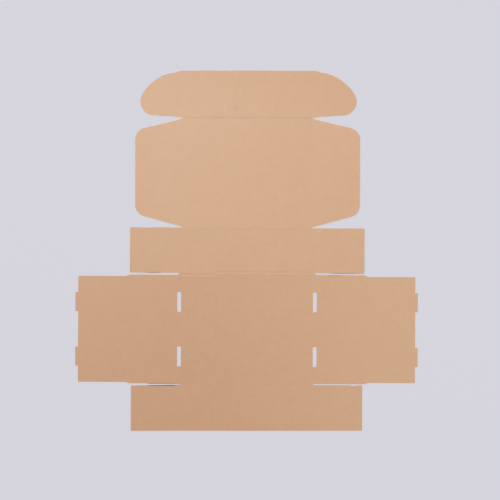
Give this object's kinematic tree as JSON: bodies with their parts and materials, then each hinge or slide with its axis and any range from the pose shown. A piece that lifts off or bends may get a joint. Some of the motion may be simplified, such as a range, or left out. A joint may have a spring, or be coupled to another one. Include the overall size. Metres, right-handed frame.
{
  "type": "flattened cardboard box",
  "caption": "Flat die-cut blank of a small tuck-in mailer box in plain kraft corrugated board, creased and slotted, lying outside face up.",
  "frame": {"origin": "middle of the sheet's outline, on the surface it lies on", "axes": "+X across the sheet along its flutes, +Y up the sheet from the front wall to the tuck flap, +Z out of the outside face, which looks up"},
  "size_m": [0.3938, 0.4142, 0.0016],
  "materials": {
    "kraft_board": "matte"
  },
  "bodies": {
    "root": {"box_blank": "kraft_board"}
  },
  "joints": []
}
